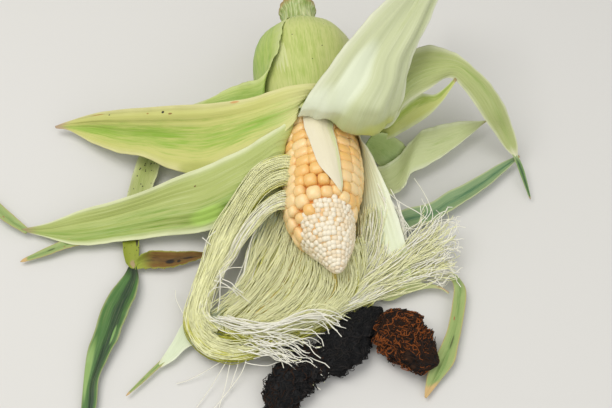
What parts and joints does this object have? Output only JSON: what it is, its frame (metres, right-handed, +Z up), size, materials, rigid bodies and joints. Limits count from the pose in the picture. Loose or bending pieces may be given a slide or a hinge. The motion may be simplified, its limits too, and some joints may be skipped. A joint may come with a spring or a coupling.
{
  "type": "opened ear of maize with husks and silk",
  "caption": "Picked ear of maize lying opened: pale kernels with an unfilled white tip, husks folded back with leaf blades, spilling silk and a cut stalk.",
  "frame": {"origin": "on the ground, under the middle of the whole part's box", "axes": "+Z up from the ground that the ear lies on, +Y from the ear's tip towards its butt, +X to the right seen from the tip"},
  "size_m": [0.3514, 0.3134, 0.0934],
  "materials": {
    "kernel": "smooth waxy skin, satin",
    "small_kernel": "smooth moist skin, satin",
    "inner_husk": "thin pale veined leaf, soft satin",
    "husk": "veined leaf with green streaks, satin",
    "outer_husk": "green veined leaf, satin",
    "dry_husk": "dry withered leaf, matte",
    "leaf": "dark green leaf blade, satin",
    "silk": "fresh moist strands, satin",
    "dry_silk": "dry matted strands, matte",
    "shank": "fibrous green stalk, matte"
  },
  "bodies": {
    "root": {"ear_tip": "small_kernel", "ear_kernels": "kernel", "closed_husks": "outer_husk", "shank": "shank", "kernel_strip": "inner_husk", "husk_top": "inner_husk", "husk_upper_left": "husk", "husk_lower_left": "husk", "husk_outer_left": "outer_husk", "husk_strap": "husk", "strip_torn": "inner_husk", "husk_right_folded": "inner_husk", "husk_right_inner": "inner_husk", "husk_left_inner": "inner_husk", "sheath_left": "outer_husk", "blade_left": "leaf", "strip_brown": "dry_husk", "blade_upper_right": "leaf", "blade_strap": "leaf", "blade_lower_left": "leaf", "strip_lower_left": "husk", "blade_left_inner": "leaf", "blade_right_inner": "leaf", "dry_hank": "dry_silk", "dry_end": "dry_silk", "dry_tuft": "dry_silk", "silk_left_outer": "silk", "silk_left_inner": "silk", "silk_left_low": "silk", "silk_under_left": "silk", "silk_under_tip": "silk", "silk_under_right": "silk", "silk_right": "silk", "silk_right_outer": "silk", "silk_right_low": "silk", "silk_hook": "silk", "silk_ends_low": "silk", "silk_ends_high": "silk", "silk_fan_upper": "silk", "silk_fan_lower": "silk"}
  },
  "joints": []
}
